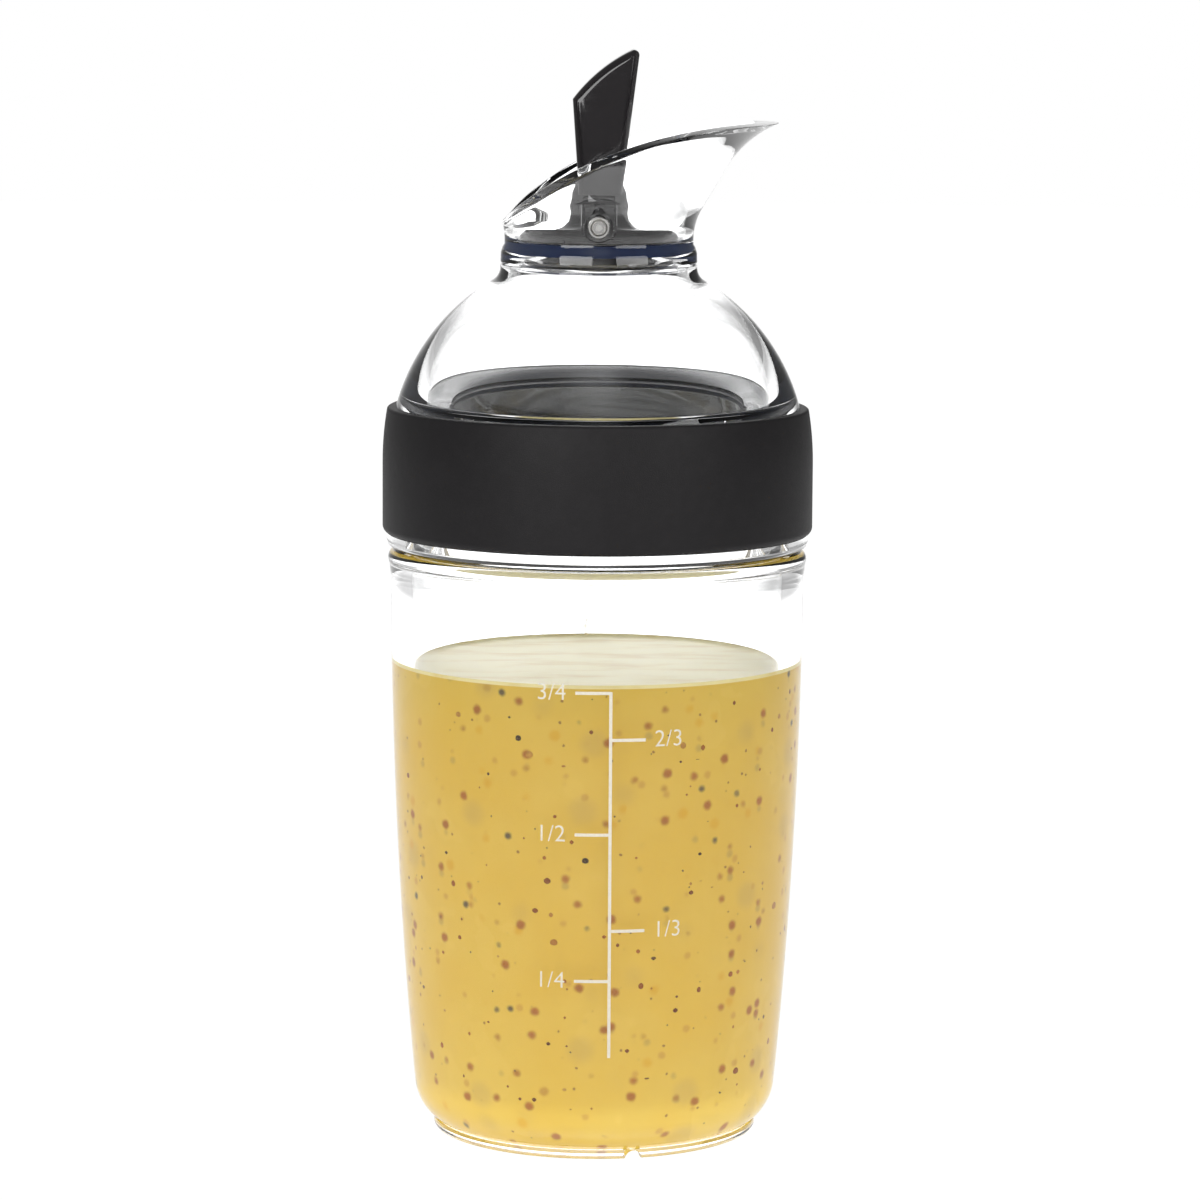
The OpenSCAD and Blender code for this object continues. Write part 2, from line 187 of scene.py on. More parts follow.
class Value:
    """A shader socket that adds a Math node for each operator it is used with."""

    def __init__(self, socket):
        self.socket = socket

    def maths(self, operation, *values):
        """The result of a Math node."""
        node = self.socket.id_data.nodes.new("ShaderNodeMath")
        node.operation = operation
        for socket, value in zip(node.inputs, values):
            fill(socket, value)
        return Value(node.outputs[0])

    def __add__(self, other):
        return self.maths("ADD", self, other)

    def __sub__(self, other):
        return self.maths("SUBTRACT", self, other)

    def __rsub__(self, other):
        return self.maths("SUBTRACT", other, self)

    def __mul__(self, other):
        return self.maths("MULTIPLY", self, other)

    def __truediv__(self, other):
        return self.maths("DIVIDE", self, other)

    def __pow__(self, other):
        return self.maths("POWER", self, other)

    __radd__ = __add__
    __rmul__ = __mul__

    def size(self):
        """The value without its sign."""
        return self.maths("ABSOLUTE", self)

    def most(self, other):
        """The larger of two values."""
        return self.maths("MAXIMUM", self, other)

    def ramp(self, low, high):
        """0 up to low, 1 from high on, and smooth between them. High may be the lower one."""
        node = self.socket.id_data.nodes.new("ShaderNodeMapRange")
        node.interpolation_type = "SMOOTHSTEP"
        flip = high < low
        start, end = (high, low) if flip else (low, high)
        for name, value in (("Value", self), ("From Min", start), ("From Max", end)):
            fill(node.inputs[name], value)
        result = Value(node.outputs["Result"])
        return 1 - result if flip else result


def fill(socket, value):
    """Links a Value to a socket, or sets the socket to a plain value."""
    if isinstance(value, Value):
        socket.id_data.links.new(value.socket, socket)
    elif hasattr(value, "__len__") and len(value) == 3 and socket.type == "RGBA":
        socket.default_value = (*value, 1)
    else:
        socket.default_value = value


class Finish:
    """One node tree, built a node at a time."""

    def __init__(self, owner):
        owner.use_nodes = True
        self.owner = owner
        self.tree = owner.node_tree
        self.tree.nodes.clear()

    def node(self, kind, settings=None, inputs=None):
        """Adds a node, sets it up and then fills its sockets, which go by name or number."""
        node = self.tree.nodes.new("ShaderNode" + kind)
        for name, value in (settings or {}).items():
            if name == "stops":
                ramp = node.color_ramp
                while len(ramp.elements) < len(value):
                    ramp.elements.new(1)
                for element, (place, shade) in zip(ramp.elements, value):
                    element.position = place
                    element.color = (*shade, 1)
            else:
                setattr(node, name, value)
        for name, value in (inputs or {}).items():
            fill(node.inputs[name], value)
        return node

    def out(self, kind, output, settings=None, inputs=None):
        """Adds a node and gives one of its outputs."""
        return Value(self.node(kind, settings, inputs).outputs[output])

    def place(self, stretch=(1, 1, 1)):
        """The point on the object, in metres, stretched along the axes."""
        at = self.out("TexCoord", "Object")
        if stretch == (1, 1, 1):
            return at
        return self.out("Mapping", "Vector", {}, {"Vector": at, "Scale": stretch})

    def noise(self, at, grain, detail=2, rough=0.5):
        """Soft noise from 0 to 1 with grains of about this size, in metres."""
        return self.out("TexNoise", "Fac", {}, {
            "Vector": at, "Scale": 1 / grain, "Detail": detail, "Roughness": rough})

    def cells(self, at, size):
        """A Voronoi node with cells of this size, in metres."""
        return self.node("TexVoronoi", {}, {"Vector": at, "Scale": 1 / size})

    def mix(self, share, first, second):
        """A colour between two others."""
        return self.out("Mix", 2, {"data_type": "RGBA"}, {0: share, 6: first, 7: second})

    def bump(self, height, depth, strength=1.0):
        """A normal bent by a height that runs from 0 to 1 and is this deep, in metres."""
        return self.out("Bump", "Normal", {}, {
            "Height": height, "Distance": depth, "Strength": strength})

    def surface(self, inputs):
        """Ends the material with a Principled shader."""
        shader = self.node("BsdfPrincipled", {}, inputs)
        self.output(shader.outputs[0])
        return self.owner

    def output(self, shader, kind="OutputMaterial"):
        """Ends the tree with this shader."""
        self.tree.links.new(shader, self.node(kind).inputs["Surface"])


def finish(name):
    """A new material to build on."""
    return Finish(bpy.data.materials.new(name))


def clear_plastic(name, tint):
    """Polished clear plastic with the faint waviness of a moulded wall."""
    made = finish(name)
    wave = made.noise(made.place(), 12 * MM, 1)
    return made.surface({
        "Base Color": tint,
        "Roughness": 0.0,
        "IOR": 1.52,
        "Transmission Weight": 1.0,
        "Normal": made.bump(wave, 0.012 * MM),
    })


def soft_rubber(name, shade, roughness, grain, depth, painted_shade_radius=0.0):
    """Matte rubber with a fine moulded grain. Nearer to the axis than the given radius it clings to
    clear plastic, and there its colour is painted a tenth as bright, as painted shade."""
    made = finish(name)
    at = made.place()
    fine = made.noise(at, grain, 3, 0.6)
    patch = made.noise(at, 12 * grain, 2)
    worn = made.mix(patch.ramp(0.35, 0.75), shade, tuple(1.15 * c for c in shade))
    split = made.node("SeparateXYZ", {}, {0: at})
    x, y = Value(split.outputs["X"]), Value(split.outputs["Y"])
    # Painted shade: inside the given radius, where the band clings to the clear skirt, the colour is
    # cut to a tenth.
    clear_of_painted_shade = ((x * x + y * y) ** 0.5).ramp(painted_shade_radius - 0.02 * MM, painted_shade_radius)
    return made.surface({
        "Base Color": made.mix(clear_of_painted_shade, tuple(0.1 * c for c in shade), worn),
        "Roughness": fine * 0.16 + (roughness - 0.08),
        "Specular IOR Level": 0.22,
        "Normal": made.bump(fine, depth),
    })


def gloss_black(shade):
    """Polished black plastic with hardly visible handling marks."""
    made = finish("lever_gloss")
    marks = made.noise(made.place((1, 1, 4)), 2.2 * MM, 4, 0.6)
    return made.surface({
        "Base Color": made.mix(marks, shade, tuple(1.3 * c for c in shade)),
        "Roughness": marks.ramp(0.35, 0.8) * 0.06 + 0.05,
        "Specular IOR Level": 0.55,
        "Normal": made.bump(made.noise(made.place(), 6 * MM, 1), 0.01 * MM),
    })


def turned_steel(shade):
    """Steel with fine rings from turning, round the pin's own axis."""
    made = finish("turned_steel")
    split = made.node("SeparateXYZ", {}, {0: made.place()})
    across, up = Value(split.outputs["X"]), Value(split.outputs["Z"])
    up = up - 148.6 * MM
    ring = ((across * across + up * up) ** 0.5) * 6000
    lines = ring.maths("SINE", ring) * 0.5 + 0.5
    return made.surface({
        "Base Color": made.mix(lines, shade, tuple(0.9 * c for c in shade)),
        "Metallic": 1.0,
        "Roughness": lines * 0.1 + 0.22,
        "Normal": made.bump(lines, 0.004 * MM),
    })


def mustard_dressing(shade, fleck, top_z):
    """Thick yellow dressing: cloudy, with seeds and spice that show softly through its skin,
    and a streaky top painted paler and brighter, as painted light falling on it from above."""
    made = finish("mustard_dressing")
    at = made.place()
    cloud = made.noise(at, 14 * MM, 3)
    base = made.mix(cloud.ramp(0.3, 0.75), shade, (0.82, 0.58, 0.095))
    wobble = made.out("VectorMath", "Vector", {"operation": "SCALE"}, {
        0: made.out("TexNoise", "Color", {}, {"Vector": at, "Scale": 1100.0}), "Scale": 0.35 * MM})
    near = made.out("VectorMath", "Vector", {"operation": "ADD"}, {0: at, 1: wobble})
    for size, reach, soft, share, strength, tone in (
            (8 * MM, 0.40, 0.3, 0.5, 0.30, (0.52, 0.36, 0.12)),
            (5.2 * MM, 0.25, 0.3, 0.5, 0.7, (0.76, 0.42, 0.02)),
            (4.3 * MM, 0.22, 0.3, 0.4, 0.5, (0.46, 0.31, 0.08)),
            (3.7 * MM, 0.24, 0.35, 0.45, 0.6, (0.62, 0.32, 0.05)),
            (4.4 * MM, 0.25, 0.35, 0.7, 0.9, fleck),
            (6.1 * MM, 0.14, 0.3, 0.5, 0.9, (0.075, 0.06, 0.045)),
            (2.3 * MM, 0.14, 0.5, 0.35, 0.8, (0.30, 0.13, 0.03)),
            (2.9 * MM, 0.065, 0.6, 0.6, 0.9, (0.06, 0.045, 0.03))):
        cell = made.cells(near, size)
        pick = Value(made.node("SeparateColor", {}, {0: Value(cell.outputs["Color"])}).outputs[0])
        spot = Value(cell.outputs["Distance"]).ramp(reach, soft * reach)
        base = made.mix(spot * pick.ramp(1 - share, 1.02 - share) * strength, base, tone)
    height = Value(made.node("SeparateXYZ", {}, {0: at}).outputs["Z"])
    on_top = height.ramp(top_z - 0.15 * MM, top_z - 0.02 * MM)
    streaks = made.noise(made.place((1, 3, 1)), 16 * MM, 3, 0.6)
    # Painted light: the top is painted much paler and brighter than the body, standing in for the light
    # and reflection it catches from above; the streaks vary it.
    pale_top_painted_light = made.mix(streaks.ramp(0.45, 0.7), (1.0, 0.90, 0.46), (0.90, 0.74, 0.30))
    ripple = made.noise(made.place((1, 2, 0.4)), 5 * MM, 2)
    return made.surface({
        "Base Color": made.mix(on_top * 0.95, base, pale_top_painted_light),
        "Roughness": 0.2 + 0.12 * cloud + 0.15 * on_top * streaks,
        "Specular IOR Level": 0.16,
        "Normal": made.bump(ripple, 0.2 * MM, 0.5),
    })


def seed_coat():
    """Mustard seed coats, each seed with its own tint from tan over red-brown to black."""
    made = finish("seed_coat")
    tint = made.out("Attribute", "Fac", {"attribute_name": "seed_tint"})
    ramp = made.out("ValToRGB", "Color", {"stops": [
        (0.0, (0.04, 0.025, 0.012)), (0.25, (0.20, 0.05, 0.01)),
        (0.6, (0.40, 0.13, 0.015)), (1.0, (0.58, 0.32, 0.06))]}, {"Fac": tint})
    pits = made.noise(made.place(), 0.3 * MM, 2)
    return made.surface({
        "Base Color": made.mix(pits.ramp(0.4, 0.8) * 0.3, ramp, (0.62, 0.38, 0.10)),
        "Roughness": 0.35 + 0.2 * pits,
        "Specular IOR Level": 0.12,
        "Normal": made.bump(pits, 0.03 * MM),
    })


def print_ink(name, shade, solid):
    """Screen printed ink with slightly uneven cover. It lets some light through."""
    made = finish(name)
    cover = made.noise(made.place(), 0.4 * MM, 2)
    return made.surface({
        "Base Color": made.mix(cover.ramp(0.3, 0.7) * 0.3, shade, tuple(0.85 * c for c in shade)),
        "Alpha": solid - 0.1 * cover,
        "Roughness": 0.45 + 0.1 * cover,
        "Normal": made.bump(cover, 0.005 * MM),
    })


def arc(x, z, radius, start, end, steps=12):
    """Points along an arc in the outline plane. The angles are in degrees."""
    angles = [math.radians(start + (end - start) * i / steps) for i in range(steps + 1)]
    return [(x + radius * math.cos(a), z + radius * math.sin(a)) for a in angles]


def chord(radius, height):
    """Half width of a circle at a height above its centre."""
    return math.sqrt(radius * radius - height * height)


def arc_between(start, end, radius, steps=14):
    """Points along the arc between two points that bulges to the right on the way."""
    away = chord(radius, math.dist(start, end) / 2) / math.dist(start, end)
    x = (start[0] + end[0]) / 2 - (end[1] - start[1]) * away
    z = (start[1] + end[1]) / 2 + (end[0] - start[0]) * away
    angles = [math.degrees(math.atan2(point[1] - z, point[0] - x)) for point in (start, end)]
    return arc(x, z, radius, *angles, steps)


def deselect():
    """Leaves nothing selected, in object mode."""
    if bpy.context.object and bpy.context.object.mode != "OBJECT":
        bpy.ops.object.mode_set(mode="OBJECT")
    bpy.ops.object.select_all(action="DESELECT")


def spun(name, outline, steps=SPIN_STEPS, ring=True):
    """Spins an outline of (radius, height) points round Z into a closed skin.
    A ring outline runs back to its first point, and an open one has both ends on the axis."""
    deselect()
    bpy.ops.mesh.primitive_plane_add(size=MM, enter_editmode=True, location=(0, 0, 0))
    bpy.ops.mesh.merge(type="CENTER")
    bpy.ops.transform.translate(value=(outline[0][0], 0, outline[0][1]))
    for here, there in zip(outline, outline[1:]):
        step = (there[0] - here[0], 0, there[1] - here[1])
        bpy.ops.mesh.extrude_vertices_move(TRANSFORM_OT_translate={"value": step})
    made = bpy.context.object
    if ring:
        join_ends(made)
    bpy.ops.mesh.select_all(action="SELECT")
    bpy.ops.mesh.spin(steps=steps, angle=2 * math.pi, center=(0, 0, 0), axis=(0, 0, 1))
    bpy.ops.mesh.select_all(action="SELECT")
    bpy.ops.mesh.remove_doubles(threshold=0.002 * MM)
    bpy.ops.mesh.normals_make_consistent(inside=False)
    bpy.ops.object.mode_set(mode="OBJECT")
    made.name = made.data.name = name
    return made


def join_ends(made):
    """Closes an open row of edges in edit mode."""
    bpy.ops.object.mode_set(mode="OBJECT")
    uses = [0] * len(made.data.vertices)
    for edge in made.data.edges:
        for v in edge.vertices:
            uses[v] += 1
    for vertex in made.data.vertices:
        vertex.select = uses[vertex.index] == 1
    bpy.ops.object.mode_set(mode="EDIT")
    bpy.ops.mesh.edge_face_add()


def boolean(made, other, operation):
    """Applies a boolean with another mesh, which is then removed."""
    deselect()
    bpy.context.view_layer.objects.active = made
    modifier = made.modifiers.new("boolean", "BOOLEAN")
    modifier.object = other
    modifier.operation = operation
    modifier.solver = "EXACT"
    bpy.ops.object.modifier_apply(modifier=modifier.name)
    bpy.data.objects.remove(other)
    return made


def dressed(made, material, body, slot, *nodes):
    """Gives a piece its finish and its body, and hides the CAD nodes that it stands for. The slot is
    not used.
    """
    deselect()
    bpy.context.view_layer.objects.active = made
    made.select_set(True)
    bpy.ops.object.transform_apply(location=True, rotation=True, scale=True)
    bpy.ops.object.shade_smooth_by_angle(angle=SMOOTH_ANGLE)
    made.data.materials.clear()
    made.data.materials.append(material)
    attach(made, body)
    if nodes:
        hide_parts(*nodes)
    return made


def smooth_copy(node, name):
    """A copy of a CAD node with its loose triangles merged, to be shaded smooth."""
    deselect()
    made = frame["nodes"][node].copy()
    made.data = frame["nodes"][node].data.copy()
    made.parent = None
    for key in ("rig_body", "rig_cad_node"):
        del made[key]
    bpy.context.scene.collection.objects.link(made)
    bpy.context.view_layer.objects.active = made
    made.select_set(True)
    bpy.ops.object.mode_set(mode="EDIT")
    bpy.ops.mesh.select_all(action="SELECT")
    bpy.ops.mesh.remove_doubles(threshold=0.002 * MM)
    bpy.ops.mesh.customdata_custom_splitnormals_clear()
    bpy.ops.object.mode_set(mode="OBJECT")
    made.name = made.data.name = name
    return made


def wall_radius(jar, z):
    """Outer radius of the jar's wall at a height."""
    return jar.radius - (91 * MM - z) ** 2 / (2 * jar.bow)


def wall_points(jar, low, high, inwards, steps):
    """Points up the jar's wall, moved inwards by a thickness."""
    heights = [low + (high - low) * i / steps for i in range(steps + 1)]
    return [(wall_radius(jar, z) - inwards, z) for z in heights]


def inside_points(jar, top_z, inwards):
    """Points up the inside of the jar from the middle of its floor, moved inwards."""
    corner = 6 * MM
    corner_z = jar.floor_z + corner
    corner_x = wall_radius(jar, corner_z) - jar.wall - corner
    return (
        [(0, jar.floor_z + inwards)]
        + arc(corner_x, corner_z, corner - inwards, -90, 0, 14)
        + wall_points(jar, corner_z + 0.5 * MM, top_z, jar.wall + inwards, 24))


def thread(radius, outwards, z, turns, size):
    """Ridges of a screw thread round a wall of this radius, rooted a little inside it.
    outwards is 1 for a thread outside the wall and -1 for one inside it."""
    root, tip = -0.3 * MM * outwards, size.depth * outwards
    half, flat = size.width / 2, size.width / 5
    deselect()
    bpy.ops.mesh.primitive_plane_add(size=MM, location=(0, 0, 0))
    ridge = bpy.context.object
    corners = ((root, -half), (tip, -flat), (root, half), (tip, flat))
    for vertex, (out, up) in zip(ridge.data.vertices, corners):
        vertex.co = (radius + out, 0, z + up)
    screw = ridge.modifiers.new("screw", "SCREW")
    screw.angle = turns * 2 * math.pi
    screw.screw_offset = turns * size.lead
    screw.steps = screw.render_steps = int(turns * 96)
    screw.use_smooth_shade = False
    bpy.ops.object.modifier_apply(modifier=screw.name)
    bpy.ops.object.mode_set(mode="EDIT")
    bpy.ops.mesh.select_all(action="SELECT")
    bpy.ops.mesh.fill_holes(sides=4)
    for _ in range(1, size.starts):
        bpy.ops.mesh.duplicate()
        bpy.ops.transform.rotate(
            value=-2 * math.pi / size.starts, orient_axis="Z", center_override=(0, 0, 0))
    bpy.ops.mesh.select_all(action="SELECT")
    bpy.ops.mesh.normals_make_consistent(inside=False)
    bpy.ops.object.mode_set(mode="OBJECT")
    return ridge


class SHAKER_OT_jar(bpy.types.Operator):
    """Clear tapered jar with its foot ring, bead and threaded neck"""

    bl_idname = "shaker.jar"
    bl_label = "Jar"

    def execute(self, context):
        jar = context.scene.shaker_jar
        foot, ring_round = jar.foot_height, 0.7 * MM
        corner_x, corner_z = wall_radius(jar, 7.8 * MM) - jar.corner, 8.3 * MM
        corner_low = -math.degrees(math.asin((corner_z - foot) / jar.corner))
        inner_foot = jar.foot_radius - jar.foot_width
        bead_round, rim_round, slope_round = 1.3 * MM, 0.8 * MM, 0.9 * MM
        slope, slope_z = math.radians(60), jar.shoulder_z - 1.7 * MM
        slope_x = wall_radius(jar, slope_z) - jar.wall - slope_round
        run = slope_x - jar.mouth + slope_round * (2 * math.cos(slope) - 1)
        slope_end = slope_z + 2 * slope_round * math.sin(slope) + run / math.tan(slope)
        outside = (
            [(0, foot - 0.2 * MM), (inner_foot - 0.6 * MM, foot - 0.2 * MM)]
            + arc(inner_foot + ring_round, ring_round, ring_round, 180, 270, 6)
            + arc(jar.foot_radius - ring_round, ring_round, ring_round, -90, 0, 6)
            + [(jar.foot_radius, foot)]
            + arc(corner_x, corner_z, jar.corner, corner_low, 0, 16)
            + wall_points(jar, 9.3 * MM, 91 * MM, 0, 30)
            + arc(jar.bead - bead_round, jar.shoulder_z - bead_round, bead_round, -25, 90, 10)
            + [(jar.neck + 0.8 * MM, jar.shoulder_z), (jar.neck, jar.shoulder_z + 0.8 * MM)]
            + arc(jar.neck - rim_round, jar.rim_z - rim_round, rim_round, 0, 90, 6))
        inside = (
            inside_points(jar, slope_z - 0.5 * MM, 0)
            + arc(slope_x, slope_z, slope_round, 0, 60, 10)
            + arc(jar.mouth + slope_round, slope_end, slope_round, 240, 180, 10)
            + arc(jar.mouth + rim_round, jar.rim_z - rim_round, rim_round, 180, 90, 6))
        made = spun("jar_clear", outside + inside[::-1], ring=False)
        boolean(made, thread(jar.neck, 1, 100 * MM, 0.75, context.scene.shaker_thread), "UNION")
        for turn in (0, math.pi):
            direction = math.radians(-76) + turn
            deselect()
            bpy.ops.mesh.primitive_cylinder_add(
                vertices=32, radius=jar.notch, depth=jar.foot_width + 2 * MM,
                location=(math.cos(direction) * (jar.foot_radius - jar.foot_width / 2),
                          math.sin(direction) * (jar.foot_radius - jar.foot_width / 2), 0),
                rotation=(0, math.pi / 2, direction))
            boolean(made, bpy.context.object, "DIFFERENCE")
        colours = context.scene.shaker_colours
        dressed(made, clear_plastic("jar_plastic", colours.clear), "jar", "jar_clear", "jar")
        return {"FINISHED"}


class SHAKER_OT_dressing(bpy.types.Operator):
    """Yellow mustard dressing that fills the jar, wetting its wall"""

    bl_idname = "shaker.dressing"
    bl_label = "Dressing"

    def execute(self, context):
        jar = context.scene.shaker_jar
        wet = -0.08 * MM
        edge = wall_radius(jar, jar.fill_z) - jar.wall
        outline = (
            inside_points(jar, jar.fill_z + 0.5 * MM, wet)
            + [(edge - 0.5 * MM, jar.fill_z + 0.12 * MM)]
            + [(edge * (1 - i / 12) - 0.5 * MM * (1 - i / 12), jar.fill_z) for i in range(1, 12)]
            + [(0, jar.fill_z)])
        made = spun("dressing_fill", outline, ring=False)
        colours = context.scene.shaker_colours
        look = mustard_dressing(colours.dressing, colours.fleck, jar.fill_z)
        dressed(made, look, "jar", "dressing", "dressing")
        return {"FINISHED"}


class SHAKER_OT_seeds(bpy.types.Operator):
    """Mustard seeds that lie against the wall in the dressing"""

    bl_idname = "shaker.seeds"
    bl_label = "Mustard seeds"

    def execute(self, context):
        jar = context.scene.shaker_jar
        rng = random.Random(11)
        deselect()
        bpy.ops.mesh.primitive_ico_sphere_add(subdivisions=2, radius=1, location=(0, 0, 0))
        model = bpy.context.object
        model.data.attributes.new("seed_tint", "FLOAT", "POINT")
        copies = []
        for _ in range(260):
            turn = rng.uniform(0, 2 * math.pi)
            z = rng.uniform(7 * MM, jar.fill_z - 1.5 * MM)
            size = jar.seed * rng.choice((0.4, 0.5, 0.6, 0.85, 1, 1.1)) * rng.uniform(0.85, 1.15)
            wall = wall_radius(jar, z) - jar.wall
            deep = size * rng.uniform(0.75, 0.95) - 0.08 * MM
            corner_z = jar.floor_z + 6 * MM
            if z < corner_z:
                wall = wall_radius(jar, corner_z) - jar.wall - 6 * MM + chord(
                    6 * MM, corner_z - z)
            seed = model.copy()
            seed.data = model.data.copy()
            seed.data.transform(
                Matrix.Translation(((wall - deep) * math.cos(turn),
                                    (wall - deep) * math.sin(turn), z))
                @ Matrix.Rotation(turn, 4, "Z")
                @ Matrix.Diagonal((size, size * rng.uniform(0.8, 1.3), size, 1)))
            tint = rng.random()
            for item in seed.data.attributes["seed_tint"].data:
                item.value = tint
            bpy.context.scene.collection.objects.link(seed)
            copies.append(seed)
        bpy.data.objects.remove(model)
        deselect()
        for seed in copies:
            seed.select_set(True)
        bpy.context.view_layer.objects.active = copies[0]
        bpy.ops.object.join()
        made = bpy.context.object
        made.name = made.data.name = "mustard_seeds"
        dressed(made, seed_coat(), "jar", "dressing")
        return {"FINISHED"}


def flat_bar(x0, x1, z0, z1):
    """A flat bar in the XZ plane, cut short enough to follow the jar's curve."""
    deselect()
    bpy.ops.mesh.primitive_grid_add(
        x_subdivisions=max(1, round((x1 - x0) / MM)), y_subdivisions=max(1, round((z1 - z0) / MM)),
        size=1, location=((x0 + x1) / 2, 0, (z0 + z1) / 2), rotation=(math.pi / 2, 0, 0))
    made = bpy.context.object
    made.scale = (x1 - x0, z1 - z0, 1)
    bpy.ops.object.transform_apply(location=True, rotation=True, scale=True)
    return made


def flat_words(words, x, z, height, side="LEFT"):
    """Plain numbers in the XZ plane, read from -Y."""
    deselect()
    bpy.ops.object.text_add(location=(x, 0, z), rotation=(math.pi / 2, 0, 0))
    made = bpy.context.object
    made.data.body = words
    made.data.size = height
    made.data.align_x = side
    made.data.align_y = "CENTER"
    made.data.offset = -0.03 * MM
    bpy.ops.object.convert(target="MESH")
    bpy.ops.object.transform_apply(location=True, rotation=True, scale=True)
    return bpy.context.object


def printed(name, parts, jar, back):
    """Joins flat marks and wraps them on the jar's wall, 0.03 mm outside it."""
    deselect()
    for part in parts:
        part.select_set(True)
    bpy.context.view_layer.objects.active = parts[0]
    bpy.ops.object.join()
    made = bpy.context.object
    clear = 0.03 * MM
    for vertex in made.data.vertices:
        x, _, z = vertex.co
        reach = wall_radius(jar, z) + clear
        turn = x / reach + (math.pi if back else 0)
        vertex.co = (reach * math.sin(turn), -reach * math.cos(turn), z)
    made.name = made.data.name = name
    return made


class SHAKER_OT_scale(bpy.types.Operator):
    """White measuring scales printed on the front and the back of the jar"""

    bl_idname = "shaker.scale"
    bl_label = "Printed scales"

    def execute(self, context):
        jar = context.scene.shaker_jar
        shade = context.scene.shaker_colours.print_white
        half = jar.line / 2
        line_x = 2.3 * MM
        parts = [flat_bar(line_x - half, line_x + half, 17.6 * MM, 76.9 * MM)]
        tick = 5.6 * MM
        for z, words, side in ((76.7, "3/4", -1), (69.2, "2/3", 1), (54.0, "1/2", -1),
                               (38.4, "1/3", 1), (30.2, "1/4", -1)):
            z *= MM
            end = line_x + side * tick
            parts.append(flat_bar(min(line_x, end), max(line_x, end), z - half, z + half))
            parts.append(flat_words(words, end + side * 1.4 * MM, z, 3.8 * MM,
                                    "LEFT" if side > 0 else "RIGHT"))
        front = printed("printed_scale_front", parts, jar, False)
        dressed(front, print_ink("print_ink_front", shade, 0.95), "jar", "jar_clear")
        parts = [flat_bar(2 * MM - half, 2 * MM + half, 20 * MM, 79.9 * MM),
                 flat_bar(-2.9 * MM, 2 * MM, 79.9 * MM - 2 * half, 79.9 * MM)]
        for z, words in ((78.5, "200"), (62.5, "150"), (45.2, "100"), (27.0, "50")):
            z *= MM
            parts.append(flat_bar(2 * MM, 7 * MM, z - half, z + half))
            parts.append(flat_words(words, 8.4 * MM, z, 3.4 * MM))
        rear = printed("printed_scale_rear", parts, jar, True)
        dressed(rear, print_ink("print_ink_rear", shade, 0.5), "jar", "jar_clear")
        return {"FINISHED"}


class SHAKER_OT_dome(bpy.types.Operator):
    """Clear dome lid with its flange, threaded skirt, draining slope and neck"""

    bl_idname = "shaker.dome"
    bl_label = "Dome lid"

    def execute(self, context):
        lid = context.scene.shaker_lid
        spigot = lid.neck - 1.5 * MM + SKIN_GAP
        flange_z, flange_round = 96.1 * MM, 1.2 * MM
        foot, inside = lid.neck_foot, lid.neck_inside
        foot_x = lid.neck + foot
        foot_z = lid.dome_z + chord(lid.dome + foot, foot_x)
        foot_angle = math.degrees(math.acos(foot_x / (lid.dome + foot)))
        inside_x = spigot + inside
        inside_z = lid.hollow_z + chord(lid.hollow + inside, inside_x - lid.hollow_x)
        inside_angle = math.degrees(
            math.acos((inside_x - lid.hollow_x) / (lid.hollow + inside)))
        slope_angle = math.degrees(math.asin((lid.slope_z - lid.hollow_z) / lid.hollow))
        slope_r = lid.hollow_x + chord(lid.hollow, lid.slope_z - lid.hollow_z)
        outline = (
            [(lid.bore + 0.6 * MM, flange_z)]
            + arc(lid.flange - flange_round, flange_z + flange_round, flange_round, -90, 0, 8)
            + [(lid.flange, lid.band_z0), (lid.band_seat, lid.band_z0)]
            + [(lid.band_seat, lid.band_z1)]
            + arc(0, lid.dome_z, lid.dome,
                  math.degrees(math.asin((lid.band_z1 - lid.dome_z) / lid.dome)),
                  foot_angle, 36)
            + arc(foot_x, foot_z, foot, 180 + foot_angle, 180, 10)
            + [(lid.neck, lid.neck_z), (spigot, lid.neck_z)]
            + arc(inside_x, inside_z, inside, 180, 180 + inside_angle, 10)
            + arc(lid.hollow_x, lid.hollow_z, lid.hollow, inside_angle, slope_angle, 32)
            + arc_between((slope_r - 0.3 * MM, lid.slope_z - 0.2 * MM), (lid.lip, lid.lip_z),
                          12 * MM)
            + [(lid.lip, lid.ledge_z),
               (lid.bore, lid.ledge_z), (lid.bore, flange_z + 0.6 * MM)])
        made = spun("dome_clear", outline)
        boolean(made, thread(lid.bore, -1, 102.4 * MM, 0.6, context.scene.shaker_thread), "UNION")
        colours = context.scene.shaker_colours
        dressed(made, clear_plastic("dome_plastic", colours.clear), "lid", "lid_clear", "dome_lid")
        return {"FINISHED"}


def trumpet_side(spout, inner):
    """Points up one side of the trumpet's wall, from its base to past its highest rim."""
    angle = math.degrees(spout.flare)
    lean = math.tan(spout.flare)
    if inner:
        turn, turn_z, start, bell, last = 6 * MM, spout.pivot_z + 1 * MM, spout.seat, 17.4 * MM, 98
        bell_z = spout.pivot_z + 8.6 * MM + spout.wall * math.sin(spout.flare)
    else:
        turn, turn_z, start, bell, last = 10 * MM, spout.pivot_z - 2.6 * MM, spout.waist, 18.1 * MM, 106
        bell_z = spout.pivot_z + 8.6 * MM
    straight_r = start + turn * (1 - math.cos(spout.flare))
    straight_z = turn_z + turn * math.sin(spout.flare)
    bell_start = straight_r + (bell_z - straight_z) * lean
    centre = (bell_start + bell * math.cos(spout.flare), bell_z - bell * math.sin(spout.flare))
    return (arc(start + turn, turn_z, turn, 180, 180 - angle, 24)
            + arc(*centre, bell, 180 - angle, last, 60))


def along(points, share):
    """The point at this share of a row of points, and the row's rest isn't looked at."""
    place = share * (len(points) - 1)
    low = min(int(place), len(points) - 2)
    part = place - low
    return tuple(a + (b - a) * part for a, b in zip(points[low], points[low + 1]))


